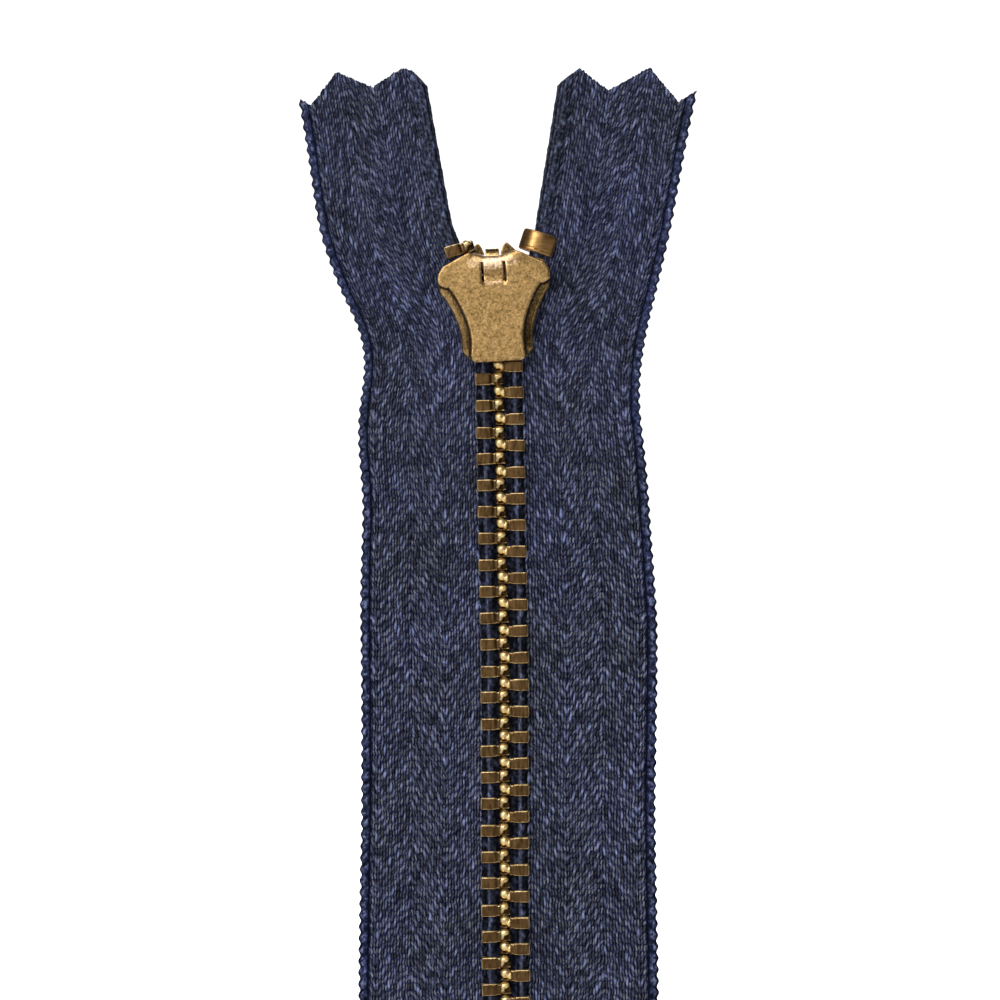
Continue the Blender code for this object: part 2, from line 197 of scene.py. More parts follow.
class Nodes:
    """Short calls for building a node material."""

    def __init__(self, name):
        self.material = bpy.data.materials.new(name)
        self.material.use_nodes = True
        self.tree = self.material.node_tree
        self.shader = self.tree.nodes["Principled BSDF"]

    def add(self, kind, **settings):
        node = self.tree.nodes.new(kind)
        for key, value in settings.items():
            setattr(node, key, value)
        return node

    def link(self, source, target):
        self.tree.links.new(source, target)

    def attribute(self, name):
        return self.add("ShaderNodeAttribute", attribute_name=name).outputs["Fac"]

    def noise(self, scale, detail=3.0, roughness=0.5, stretch=None):
        """Noise in the row frame, in cells per metre; stretch squeezes it along an axis."""
        coordinates = self.add("ShaderNodeTexCoord").outputs["Object"]
        if stretch:
            mapping = self.add("ShaderNodeMapping")
            mapping.inputs["Scale"].default_value = stretch
            self.link(coordinates, mapping.inputs["Vector"])
            coordinates = mapping.outputs["Vector"]
        node = self.add("ShaderNodeTexNoise")
        node.inputs["Scale"].default_value = scale
        node.inputs["Detail"].default_value = detail
        node.inputs["Roughness"].default_value = roughness
        self.link(coordinates, node.inputs["Vector"])
        return node.outputs["Fac"]

    def ramp(self, value, stops):
        """A colour ramp; stops are (position, colour), the colour one number or three."""
        node = self.add("ShaderNodeValToRGB")
        elements = node.color_ramp.elements
        while len(elements) < len(stops):
            elements.new(0.5)
        for element, (position, colour) in zip(elements, stops):
            element.position = position
            colour = (colour,) * 3 if np.isscalar(colour) else colour
            element.color = (*colour, 1.0)
        self.link(value, node.inputs["Fac"])
        return node.outputs["Color"]

    def math(self, operation, a, b):
        node = self.add("ShaderNodeMath", operation=operation)
        for socket, value in zip(node.inputs, (a, b)):
            if isinstance(value, (int, float)):
                socket.default_value = value
            else:
                self.link(value, socket)
        return node.outputs[0]

    def mix(self, factor, a, b, blend="MIX"):
        node = self.add("ShaderNodeMix", data_type="RGBA", blend_type=blend)
        for socket, value in ((node.inputs[0], factor), (node.inputs[6], a), (node.inputs[7], b)):
            if isinstance(value, (int, float)):
                socket.default_value = value
            elif isinstance(value, tuple):
                socket.default_value = (*value, 1.0)
            else:
                self.link(value, socket)
        return node.outputs[2]

    def bump(self, height, strength, distance):
        node = self.add("ShaderNodeBump")
        node.inputs["Strength"].default_value = strength
        node.inputs["Distance"].default_value = distance
        self.link(height, node.inputs["Height"])
        self.link(node.outputs["Normal"], self.shader.inputs["Normal"])

    def set(self, **values):
        for key, value in values.items():
            socket = self.shader.inputs[key.replace("_", " ")]
            if isinstance(value, (int, float)):
                socket.default_value = value
            elif isinstance(value, tuple):
                socket.default_value = (*value, 1.0)
            else:
                self.link(value, socket)


def cloth_material(name, dark, middle, light):
    """Navy yarn: painted shade in the gaps, a bluer painted highlight on the crown of each warp float, and
    greyer on the weft.
    """
    n = Nodes(name)
    height = n.attribute("height")
    tone = n.attribute("tone")
    grey = tuple(0.45 * sum(light) / 3 + 0.15 * c for c in light)
    # The ramps over height paint shade into the low places and a highlight on the crowns.
    warp = n.ramp(height, [(0.42, dark), (0.76, middle), (1.0, light)])
    weft = n.ramp(height, [(0.3, dark), (0.46, middle), (0.6, grey)])
    # Tone varies the yarns at random, and on the cord it also carries painted highlights and painted
    # shade.
    shade = n.ramp(tone, [(0.0, 0.3), (0.6, 0.95), (1.0, 1.9)])
    yarn = n.mix(1.0, n.mix(n.attribute("weft"), warp, weft), shade, "MULTIPLY")
    fibres = n.noise(11000.0, 2.0, 0.6, stretch=(1.0, 1.0, 0.4))
    clouds = n.ramp(n.noise(120.0, 2.0), [(0.3, (0.92, 0.92, 0.84)), (0.7, (1.06, 1.07, 1.18))])
    flecked = n.mix(1.0, yarn, n.ramp(fibres, [(0.3, 0.55), (0.7, 1.45)]), "MULTIPLY")
    flecked = n.mix(1.0, flecked, clouds, "MULTIPLY")
    n.set(Base_Color=flecked, Roughness=0.95, Sheen_Weight=0.02, Sheen_Roughness=0.4)
    n.shader.inputs["Sheen Tint"].default_value = (0.6, 0.65, 0.9, 1.0)
    n.shader.inputs["Specular IOR Level"].default_value = 0.05
    n.bump(fibres, 0.5, 0.00006)
    return n.material


def brass_material(name, dark, rubbed, roughness, grain_scale, grain, dents, stretch=None):
    """Antique brass by its wear: tarnished at 0, its plain patina at 0.2, rubbed bright above 0.7; on the
    teeth and the slider the wear also carries painted highlights and painted shade.
    """
    n = Nodes(name)
    wear = n.attribute("wear")
    cloud = n.noise(1300.0, 4.0, 0.6)
    fine = n.noise(grain_scale, 4.0, 0.65, stretch=stretch)
    edge = n.math("ADD", wear, n.math("MULTIPLY", n.math("SUBTRACT", fine, 0.5), 0.4))
    # The colour at wear 0 serves for tarnish in hollows and for painted shade.
    tarnish_and_painted_shade = tuple(0.28 * c for c in dark)
    colour = n.ramp(edge, [(0.0, tarnish_and_painted_shade), (0.17, dark), (0.33, dark), (0.75, rubbed)])
    patches = n.ramp(cloud, [(0.3, (0.82, 0.8, 0.74)), (0.7, (1.2, 1.22, 1.32))])
    mottled = n.mix(1.0, colour, patches, "MULTIPLY")
    grained = n.mix(1.0, mottled, n.ramp(fine, [(0.3, 1.0 - grain), (0.7, 1.0 + grain)]), "MULTIPLY")
    rough = n.math("ADD", n.math("MULTIPLY", cloud, 0.12), roughness - 0.08)
    rough = n.math("ADD", n.math("MULTIPLY", wear, 0.16), rough)
    n.set(Base_Color=grained, Metallic=1.0, Roughness=rough)
    n.bump(fine, dents, 0.00003)
    return n.material


def steel_material():
    n = Nodes("spring_steel")
    lines = n.noise(6000.0, 2.0, 0.5, stretch=(1.0, 1.0, 0.05))
    colour = n.ramp(lines, [(0.2, (0.3, 0.3, 0.31)), (0.8, (0.6, 0.6, 0.62))])
    n.set(Base_Color=colour, Metallic=1.0, Roughness=0.3)
    n.bump(lines, 0.2, 0.00002)
    return n.material


def floor_material():
    """Pale paper that is overexposed to plain white, yet lights the object only as lit paper does."""
    n = Nodes("pale_floor")
    n.set(Base_Color=n.ramp(n.noise(3.0, 2.0), [(0.0, 0.76), (1.0, 0.82)]), Roughness=0.9)
    n.shader.inputs["Emission Color"].default_value = (1.0, 1.0, 1.0, 1.0)
    seen = n.add("ShaderNodeLightPath").outputs["Is Camera Ray"]
    n.link(seen, n.shader.inputs["Emission Strength"])
    return n.material


TAPE_CLOTH = cloth_material(
    "tape_weave", dark=(0.0037, 0.0047, 0.0135), middle=(0.032, 0.039, 0.088), light=(0.16, 0.186, 0.3)
)
# Darker than the tape: with the cord's tone this paints the shade between the teeth.
CORD_CLOTH = cloth_material(
    "cord_weave", dark=(0.003, 0.0035, 0.008), middle=(0.02, 0.024, 0.05), light=(0.1, 0.12, 0.2)
)
TOOTH_BRASS = brass_material(
    "tooth_brass_worn_and_painted_light", dark=(0.11, 0.062, 0.024), rubbed=(1.0, 0.72, 0.35), roughness=0.28,
    grain_scale=4000.0, grain=0.45, dents=0.08, stretch=(1.0, 1.0, 0.25),
)
SLIDER_BRASS = brass_material(
    "slider_brass_satin", dark=(0.4, 0.25, 0.095), rubbed=(0.95, 0.67, 0.42), roughness=0.34,
    grain_scale=4500.0, grain=0.6, dents=0.35,
)
STOP_BRASS = brass_material(
    "stop_brass_drawn", dark=(0.36, 0.2, 0.07), rubbed=(0.95, 0.62, 0.33), roughness=0.33,
    grain_scale=3500.0, grain=0.3, dents=0.12, stretch=(0.3, 0.3, 3.0),
)
PAWL_STEEL = steel_material()


# ---------------------------------------------------------------- woven relief

def weave(u, v):
    """A steep herringbone twill at u across and v along the tape: height, tone and share of weft."""
    place = (u - BAND_START) / WARP
    rows = v / WEFT
    place = place + 0.27 * waver(u, v, 0.6, 0)
    rows = rows + 0.25 * waver(u, v, 0.42, 17)
    thick = 2.4 + 0.5 * waver(u, v, 0.6, 31)
    best = np.full(u.shape, -1.0)
    tone = np.zeros(u.shape)
    for step in (-1, 0, 1):
        column = np.floor(place).astype(int) + step
        band = column // BAND_COLUMNS
        turn = np.where(band % 2 == 0, 1, -1)
        within = column - band * BAND_COLUMNS
        rise = rows - np.where(turn > 0, within, BAND_COLUMNS - 1 - within)
        number = np.floor(rise / 4.0 + 0.5).astype(int)
        along = rise - 4.0 * number
        across = place - column - 0.5 + np.where(turn > 0, 0.3, -0.55) * along
        spread = TONES[(column * 3) % TONES.shape[0], (number * 5 + 1) % TONES.shape[1]]
        lift = np.tanh(3.2 * (0.45 + 0.4 * spread - np.abs(along)))
        crown = np.sqrt(np.clip(1 - (thick * across) ** 2, 0, 1))
        height = np.where(crown > 0, 0.45 * lift + 0.55 * crown, -1.0)
        shade = TONES[(column * 7) % TONES.shape[0], (number * 3 + column) % TONES.shape[1]]
        tone = np.where(height > best, shade, tone)
        best = np.maximum(best, height)
    pick = rows - np.floor(rows) - 0.5
    end = place - np.floor(place) - 0.5
    turn = np.where((np.floor(place).astype(int) // BAND_COLUMNS) % 2 == 0, 0.25, -0.4)
    rise = np.sqrt(np.clip(1 - (1.75 * pick) ** 2, 0, 1))
    weft = 0.6 * rise * np.sqrt(np.clip(1 - ((thick + 0.3) * (end + turn * pick)) ** 2, 0, 1)) - 0.1
    cell = TONES[np.floor(place).astype(int) % TONES.shape[0], np.floor(rows).astype(int) % TONES.shape[1]]
    tone = np.where(weft > best, cell, tone)
    height = (np.maximum(best, weft) + 0.4) / 1.4
    return np.clip(height, 0, 1), tone, (weft > best).astype(float)


def waver(u, v, cell, row):
    """Smooth noise over the cloth, from -1 to 1, one value to each cell of that many mm."""
    a, b = u / cell + row, v / cell
    i, j = np.floor(a).astype(int), np.floor(b).astype(int)
    s, t = eased(a - i, 0, 1), eased(b - j, 0, 1)
    rows, columns = TONES.shape
    corner = [[TONES[(i + m) % rows, (j + k) % columns] for k in (0, 1)] for m in (0, 1)]
    low = corner[0][0] + (corner[1][0] - corner[0][0]) * s
    high = corner[0][1] + (corner[1][1] - corner[0][1]) * s
    return 2 * (low + (high - low) * t) - 1


def selvage_relief(beyond, v):
    """The looped edge: beyond runs from 0 at its groove to 1 at its outer side."""
    loop = np.mod(v / SELVAGE_PITCH + 0.35 * beyond, 1.0) - 0.5
    rope = np.sqrt(np.clip(1 - (2 * beyond - 1.05) ** 2, 0, 1))
    lump = np.sqrt(np.clip(1 - (1.9 * loop) ** 2, 0, 1))
    fuzz = 0.3 * waver(beyond, v, 0.21, 5) + 0.15 * waver(beyond, v, 0.11, 23)
    return np.clip(rope * (0.3 + 0.5 * lump + fuzz), 0, 1)


def smooth_line(pairs):
    """A function of z through given points, with its corners eased over a few mm."""
    z, x = np.array(pairs, float).T
    fine = np.arange(z[0] - 6, z[-1] + 6, 0.1)
    values = np.interp(fine, z, x)
    kernel = np.exp(-0.5 * (np.arange(-40, 41) / 14.0) ** 2)
    values = np.convolve(np.pad(values, 40, mode="edge"), kernel / kernel.sum(), "valid")
    return lambda at: np.interp(at, fine, values)


def tape_point(label, u, s, edge):
    """x and z of the tape's middle surface at u across from the bead and s along it, in mm."""
    x, z, lean = bead(label, s)
    inner_x = x + TAPE_START_N * np.cos(lean)
    inner_z = z - TAPE_START_N * np.sin(lean)
    outer_z = z - 2.2 * eased(s, 84.0, 104.0)
    outer_x = edge(outer_z)
    share = u / TAPE_WIDTH
    return inner_x + (outer_x - inner_x) * share, inner_z + (outer_z - inner_z) * share


def cut_lengths(label, u, edge):
    """How far along the bead each column runs before it meets the pinked cuts at the foot and the top."""
    s = np.arange(108.0, 124.0, 0.05)
    x, z = tape_point(label, u[None, :], s[:, None], edge)
    line = np.interp(x, *np.array(PINKED_TOP[label]).T)
    top = s[np.argmax(z > line, axis=0)]
    foot = np.interp(u + BEAD_X + TAPE_START_N, *np.array(PINKED_FOOT).T)
    frays = np.convolve(RNG.normal(0, 0.09, len(u) + 2), (0.25, 0.5, 0.25), "valid")
    return foot + frays, top + frays[::-1]


def swell(u, s):
    """Gentle waves of the cloth out of its plane, in mm; towards the viewer is negative."""
    share = u / TAPE_WIDTH
    waist = 0.9 * np.exp(-(((s - 94.0) / 7.0) ** 2)) * np.sin(np.pi * np.clip(share, 0, 1) * 0.9)
    slow = 0.18 * np.sin(s / 17.0 + 1.3) * share + 0.08 * np.sin(s / 7.3) * share**2
    curl = 0.5 * eased(s, 104.0, 119.0) * share**2
    return waist + slow - curl


def build_tape(label, side):
    """The tape in two stretches, each a closed sheet with its weave as real relief on both faces."""
    edge = smooth_line(SELVAGE[label])
    columns = int(round(TAPE_WIDTH / WARP * SAMPLES_PER_WARP)) + 1
    u = np.linspace(0, TAPE_WIDTH, columns)
    foot, top = cut_lengths(label, u, edge)
    step = WEFT / SAMPLES_PER_WEFT
    ease_in = 8.0  # near a pinked end the rows close up or spread to meet the cut
    for stretch, low, high, bodies, bend in (
        ("lower", foot, np.full(columns, JOIN_AT), ("closed_end", f"{label}_stringer"), FOOT_BEND),
        ("upper", np.full(columns, JOIN_AT), top, (f"{label}_stringer", f"{label}_open_end"), TOP_BEND),
    ):
        base = np.arange(low.min(), high.max() + step / 2, step)
        lower_end = base[0] + ease_in
        upper_end = base[-1] - ease_in
        s = np.repeat(base[:, None], columns, 1)
        if stretch == "lower":
            share = np.clip((lower_end - s) / ease_in, 0, 1)
            s = s + share * (low[None, :] - base[0])
        else:
            share = np.clip((s - upper_end) / ease_in, 0, 1)
            s = s + share * (high[None, :] - base[-1])
        wide = np.repeat(u[None, :], len(base), 0)
        height, tone, weft = weave(wide, s)
        beyond = (wide - (TAPE_WIDTH - SELVAGE_WIDTH)) / SELVAGE_WIDTH
        loops = selvage_relief(np.clip(beyond, 0, 1), s)
        on_edge = beyond > 0
        height = np.where(on_edge, loops, height)
        groove = (0.36 + 0.34 * waver(wide, s, 0.55, 11)) * np.exp(-(((beyond + 0.02) / 0.08) ** 2))
        height = height * (1 - 0.85 * groove)
        tone = np.where(on_edge, 0.7 + 0.25 * waver(wide, s, 0.22, 41), tone)
        weft = np.where(on_edge, 0.0, weft)
        x, z = tape_point(label, wide, s, edge)
        scallop = 0.1 * np.sin(2 * np.pi * s / SELVAGE_PITCH) * np.clip(beyond, 0, 1)
        x = x + scallop
        back = weave(wide, s + 2 * WEFT)[0]
        back = np.where(on_edge, loops, back) * (1 - 0.85 * groove)
        middle = swell(wide, s)
        taper = 1 - 0.6 * eased(wide, TAPE_WIDTH - 0.25, TAPE_WIDTH)
        front_y = middle - (TAPE_HALF + RELIEF * height) * taper
        back_y = middle + (TAPE_HALF + RELIEF * back) * taper
        points = np.concatenate([
            np.stack([side * x, face_y, z], -1).reshape(-1, 3) for face_y in (front_y, back_y)
        ])
        faces = shell_faces(len(base), columns)
        if side < 0:
            faces = faces[:, ::-1]
        piece = mesh_object(f"{label}_tape_{stretch}", bowed(points), faces)
        calm = 0.3 * eased(s, 60.0, 100.0)  # the painted shade and highlights of the weave are weaker towards the open ends
        shown = height + calm * (np.where(weft > 0, 0.46, 0.77) - height)
        float_attribute(piece, "height", np.concatenate([shown.ravel(), back.ravel()]))
        float_attribute(piece, "tone", np.concatenate([tone.ravel(), tone.ravel()]))
        float_attribute(piece, "weft", np.concatenate([weft.ravel(), weft.ravel()]))
        piece.data.materials.append(TAPE_CLOTH)
        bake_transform(piece)
    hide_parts(f"{label}_tape_foot")
    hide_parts(f"{label}_tape_main", f"{label}_tape_top")


def build_cord(label, side):
    """The bead cord as a knitted tube, in two stretches like the tape."""
    around = 28
    step = 0.12
    for stretch, low, high, bodies, bend in (
        ("lower", -14.6, JOIN_AT, ("closed_end", f"{label}_stringer"), FOOT_BEND),
        ("upper", JOIN_AT, 117.6, (f"{label}_stringer", f"{label}_open_end"), TOP_BEND),
    ):
        s = np.arange(low, high + step / 2, step)[:, None]
        angle = (np.arange(around) * 2 * math.pi / around)[None, :]
        wide, along = (a.copy() for a in np.broadcast_arrays(angle * BEAD_RADIUS, s))
        if stretch == "upper":
            x, z, lean = bead(label, high)
            end_x = x + BEAD_RADIUS * np.cos(angle) * np.cos(lean)
            end_z = z - BEAD_RADIUS * np.cos(angle) * np.sin(lean)
            cut = np.interp(end_x, *np.array(PINKED_TOP[label]).T) - end_z
            along += np.clip((along - high + 4.0) / 4.0, 0, 1) * cut
        height, tone, weft = weave(wide, along * 1.15)
        inner, outer = np.clip(-np.cos(angle), 0, 1), np.clip(np.cos(angle), 0, 1)
        # Painted highlight along the crest of the tube, on its front and back a little to the outer side.
        crest = np.exp(-(((np.cos(angle) - 0.16) / 0.22) ** 2))
        facing = np.abs(np.sin(angle))
        closed = 1 - eased(along, 88.0, 94.0)
        # Painted light: where the chain is closed the cord is dark, with brighter front and back faces and
        # the crest highlight; above it the cord has a painted shade line on its side towards the centre
        # line.
        closed_painted_light = 0.03 + 0.2 * facing**3 + 1.25 * crest
        open_tone_and_shade_line = 1.1 - 0.8 * np.exp(-(((np.cos(angle) + 0.62) / 0.12) ** 2))
        tone = (0.7 + 0.4 * tone) * (open_tone_and_shade_line + closed * (closed_painted_light - open_tone_and_shade_line))
        radius = BEAD_RADIUS * 0.9 + 0.1 * height
        # The colour's height is raised most on the painted crest highlight and least elsewhere where the
        # chain is closed, which paints shade there.
        height = height + (0.12 + closed * (0.38 * crest - 0.1)) * (1 - height)
        weft = 0.3 * weft
        if stretch == "upper":
            radius = radius * (1 - 0.25 * eased(s, high - 0.4, high))
        else:
            radius = radius * (1 - 0.4 * eased(-along, -low - 0.6, -low))
        x, z, lean = bead(label, along)
        out = radius * np.cos(angle) * (1 + 0.55 * closed * inner + 0.18 * closed * outer)
        px = side * (x + out * np.cos(lean))
        pz = z - out * np.sin(lean)
        points = np.stack([px, side * radius * np.sin(angle), pz], -1).reshape(-1, 3)
        rows = len(s)
        faces = [tuple(f) for f in grid_faces(rows, around, wrap=True)]
        faces += [tuple(range(around))[::-1], tuple(range((rows - 1) * around, rows * around))]
        piece = mesh_object(f"{label}_bead_cord_{stretch}", bowed(points), faces)
        float_attribute(piece, "height", height)
        float_attribute(piece, "tone", tone)
        float_attribute(piece, "weft", weft)
        piece.data.materials.append(CORD_CLOTH)
        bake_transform(piece)
        end = "foot" if stretch == "lower" else "top"
        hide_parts(f"{label}_bead_cord_{end}")


# ---------------------------------------------------------------- teeth

# Place of each side's dome (n, z) and its half width and half height; the dome is rubbed bright and
# painted as a highlight
TOOTH_DOME = {-1: (-1.28, 0.34, 0.55, 0.42), 1: (-1.47, 0.25, 0.57, 0.56)}


def tooth_points(side):
    """A cast tooth as a clam shell of heights over its outline: n outwards, z up, y through the tape."""
    n_tip, n_end = -1.95, 0.97
    quarter = np.linspace(0, math.pi / 2, 5)
    n = np.unique(np.concatenate([
        n_tip + 0.16 * (1 - np.cos(quarter)),
        np.linspace(n_tip + 0.16, n_end - 0.14, 30),
        n_end - 0.14 * (1 - np.sin(quarter)),
    ]))
    share = np.linspace(-1, 1, 17)
    share = np.sign(share) * (1 - (1 - np.abs(share)) ** 1.5)
    waist = np.exp(-(((n + 0.72) / 0.2) ** 2))
    head = eased(-n, 0.85, 1.05)
    top = 0.57 - 0.09 * waist + head * (0.09 + 0.1 * np.exp(-(((n + 1.45) / 0.34) ** 2)))
    low = -0.57 + 0.07 * waist - 0.09 * head
    corner = np.clip((n - (n_end - 0.14)) / 0.14, 0, 1)
    nose = np.clip((n_tip + 0.3 - n) / 0.3, 0, 1)
    squeeze = 1 - 0.25 * corner**2 - 0.3 * nose**2
    middle = (top + low) / 2
    half = (top - low) / 2 * squeeze
    z = middle[:, None] + half[:, None] * share[None, :]
    n2 = np.repeat(n[:, None], len(share), 1)
    rim = np.minimum(half[:, None] * (1 - np.abs(share[None, :])), np.minimum(n2 - n_tip, n_end - n2))
    rounding = 0.15
    drop = rounding * (1 - np.sqrt(1 - (1 - np.clip(rim / rounding, 0, 1)) ** 2))
    head = head[:, None]
    peak_n, peak_z, wide, tall = TOOTH_DOME[side]
    dome = np.sqrt(np.clip(1 - ((n2 - peak_n) / wide) ** 2 - ((z - peak_z) / tall) ** 2, 0, 1))
    tail = 0.9 * np.sqrt(np.clip(1 - ((n2 + 0.98) / 0.36) ** 2 - ((z + 0.08) / 0.36) ** 2, 0, 1))
    crest = head * np.maximum(dome, tail)
    lip = head * np.exp(-(((z + 0.5) / 0.09) ** 2))
    shoulder = 1 - eased(np.abs(z), 0.4, 0.6)
    body = 1.18 - 0.1 * waist[:, None] - head * (0.9 - 0.2 * shoulder)
    y = body + 0.6 * crest + 0.2 * lip - drop
    # Worn rims and lip are rubbed bright; the dome and its tail are rubbed bright with a painted
    # highlight.
    wear = 0.18 + 0.75 * np.clip(1 - rim / 0.13, 0, 1) ** 1.1 * (1 - head) + 0.9 * crest + 0.3 * lip
    # Painted shade: the rest of the recessed head is darkened.
    wear = wear - 0.2 * head * (1 - np.clip(2 * crest + lip, 0, 1))
    front = np.stack([side * n2, -y, z], -1).reshape(-1, 3)
    back = front * np.array([1, -1, 1])
    faces = shell_faces(len(n), len(share))[:, ::-1]
    if side < 0:
        faces = faces[:, ::-1]
    return np.concatenate([front, back]), faces, np.clip(np.tile(wear.ravel(), 2), 0, 1)


def bodies_at(label, height):
    """The body that a rigid piece at that height rides on, or the pair that it bends between."""
    bends = (
        ("closed_end", f"{label}_stringer", FOOT_BEND),
        (f"{label}_stringer", f"{label}_open_end", TOP_BEND),
    )
    for below, above, bend in bends:
        if height < bend[0]:
            return below, None, None
        if height < bend[1]:
            return below, above, bend
    return bends[-1][1], None, None


def hold(piece, label, height):
    below, above, bend = bodies_at(label, height)
    if above:
        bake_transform(piece)
    else:
        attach(piece, below)


def build_teeth(label, side):
    """Every tooth on its own, each a little out of true as cast teeth are."""
    points, faces, wear = tooth_points(side)
    for number in range(TEETH[label]):
        s = FIRST_TOOTH[label] + number * PITCH
        x, z, lean = (float(value) for value in bead(label, s))
        jitter = RNG.normal(0, 1, 4)
        turn = (
            Matrix.Translation((side * (x + 0.015 * jitter[0]), 0, z + 0.02 * jitter[1]))
            @ Matrix.Rotation(side * lean + math.radians(0.9) * jitter[2], 4, "Y")
            @ Matrix.Rotation(math.radians(1.2) * jitter[3], 4, "X")
        )
        m = np.array(turn)
        placed = points @ m[:3, :3].T + m[:3, 3]
        piece = mesh_object(f"{label}_tooth_{number + 1:02d}", bowed(placed), faces)
        float_attribute(piece, "wear", wear)
        piece.data.materials.append(TOOTH_BRASS)
        hold(piece, label, z)
        if number == 0:
            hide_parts(f"{label}_end_tooth")
        elif number == 1:
            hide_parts(f"{label}_teeth_in_slider", *(f"{label}_teeth_row_{k}" for k in range(1, 7)))


# ---------------------------------------------------------------- pressed and cast brass

def rounded_loop(points, step=0.12, ease=0.16):
    """A closed outline resampled evenly, with its corners eased."""
    corners = np.array([*points, points[0]], float)
    lengths = np.concatenate([[0], np.cumsum(np.linalg.norm(np.diff(corners, axis=0), axis=1))])
    count = int(lengths[-1] / step)
    at = np.arange(count) * lengths[-1] / count
    loop = np.stack([np.interp(at, lengths, corners[:, k]) for k in (0, 1)], -1)
    reach = int(4 * ease / step) + 1
    kernel = np.exp(-0.5 * (np.arange(-reach, reach + 1) * step / ease) ** 2)
    kernel /= kernel.sum()
    return sum(k * np.roll(loop, j, axis=0) for k, j in zip(kernel, range(-reach, reach + 1)))


def inward(loop):
    """Unit vectors pointing into a loop that runs anticlockwise seen with u right and w up."""
    along = np.roll(loop, -1, axis=0) - np.roll(loop, 1, axis=0)
    along /= np.linalg.norm(along, axis=1)[:, None]
    return np.stack([-along[:, 1], along[:, 0]], -1)


def stack(name, loops, levels):
    """A solid from outlines (u, w) at rising values of y, capped at both ends."""
    count = len(loops[0])
    points = np.concatenate([
        np.stack([loop[:, 0], np.full(count, y), loop[:, 1]], -1) for loop, y in zip(loops, levels)
    ])
    faces = [tuple(f) for f in grid_faces(len(levels), count, flip=True, wrap=True)]
    faces += [tuple(range(count)), tuple(range((len(levels) - 1) * count, len(levels) * count))[::-1]]
    return mesh_object(name, points, faces, smooth=False)


def slab(name, outline, front, back, edge=0.0):
    """A flat piece between two values of y, with its edges rounded by that much."""
    loop = rounded_loop(outline)
    pull = inward(loop)
    if not edge:
        return stack(name, [loop, loop], [front, back])
    angles = np.linspace(0, math.pi / 2, 5)
    insets = [edge * (1 - math.sin(a)) for a in angles]
    depths = [edge * (1 - math.cos(a)) for a in angles]
    loops = [loop + pull * i for i in insets] + [loop + pull * i for i in reversed(insets)]
    levels = [front + d for d in depths] + [back - d for d in reversed(depths)]
    return stack(name, loops, levels)


def block(low, high):
    """A box between two corners, in mm."""
    shape = bmesh.new()
    low, high = Vector(low) * MM, Vector(high) * MM
    place = Matrix.Translation((low + high) / 2) @ Matrix.Diagonal((*(high - low), 1.0))
    bmesh.ops.create_cube(shape, size=1.0, matrix=place)
    return tool_object(shape)


def rod(radius, length, middle, axis="X", sides=48):
    shape = bmesh.new()
    quarter = math.pi / 2
    turns = {"X": Matrix.Rotation(quarter, 4, "Y"), "Y": Matrix.Rotation(quarter, 4, "X"), "Z": Matrix()}
    bmesh.ops.create_cone(
        shape, cap_ends=True, segments=sides, radius1=radius * MM, radius2=radius * MM, depth=length * MM,
        matrix=Matrix.Translation(Vector(middle) * MM) @ turns[axis],
    )
    return tool_object(shape)


def tool_object(shape):
    mesh = bpy.data.meshes.new("tool")
    shape.to_mesh(mesh)
    shape.free()
    item = bpy.data.objects.new("tool", mesh)
    bpy.context.scene.collection.objects.link(item)
    return item


def carve(target, tools, operation):
    """Joins or cuts with each tool in turn, and removes the tools."""
    for tool in tools:
        modifier = target.modifiers.new("carve", "BOOLEAN")
        modifier.operation = operation
        modifier.solver = "MANIFOLD"
        modifier.object = tool
        settle(target)
        bpy.data.objects.remove(tool)


def settle(target):
    """Turns the modifiers of an object into its mesh."""
    depsgraph = bpy.context.evaluated_depsgraph_get()
    mesh = bpy.data.meshes.new_from_object(target.evaluated_get(depsgraph))
    target.modifiers.clear()
    target.data = mesh


def melt(target, voxel, passes=3, pressed=None, wear_shift=None):
    """Remeshes a piece so that every edge gets a small natural radius, then finds where it is worn.

    pressed and the other function take the points' coordinates in mm: pressed gives how far the die pushes
    each point along y, and the other what to add to the wear: rubbed brightening, painted highlights and
    painted shade on the slider, and a darkening of the pull's eye.
    """
    remesh = target.modifiers.new("even", "REMESH")
    remesh.mode = "VOXEL"
    remesh.voxel_size = voxel * MM
    settle(target)
    smooth = target.modifiers.new("soft", "SMOOTH")
    smooth.factor = 0.5
    smooth.iterations = passes
    settle(target)
    target.data.shade_smooth()
    shape = bmesh.new()
    shape.from_mesh(target.data)
    if pressed:
        for v in shape.verts:
            v.co.y += pressed(*(v.co / MM)) * MM
        shape.normal_update()
        shape.to_mesh(target.data)
    normals = np.array([v.normal[:] for v in shape.verts])
    places = np.array([v.co[:] for v in shape.verts])
    edges = np.array([[e.verts[0].index, e.verts[1].index] for e in shape.edges])
    shape.free()
    span = places[edges[:, 1]] - places[edges[:, 0]]
    turned = normals[edges[:, 1]] - normals[edges[:, 0]]
    bend = (turned * span).sum(1) / np.maximum((span**2).sum(1), 1e-18)
    total, count = np.zeros(len(places)), np.zeros(len(places))
    for k in (0, 1):
        np.add.at(total, edges[:, k], bend)
        np.add.at(count, edges[:, k], 1)
    curvature = total / np.maximum(count, 1)
    for _ in range(2):
        spread = np.zeros(len(places))
        for a, b in ((0, 1), (1, 0)):
            np.add.at(spread, edges[:, a], curvature[edges[:, b]])
        curvature = 0.5 * curvature + 0.5 * spread / np.maximum(count, 1)
    curvature *= MM
    wear = 0.2 + np.clip((curvature - 1.2) / 7.0, 0, 0.75) + np.clip((curvature + 0.7) / 8.0, -0.2, 0)
    if wear_shift:
        wear = wear + wear_shift(*(places / MM).T)
    float_attribute(target, "wear", np.clip(wear, 0, 1))


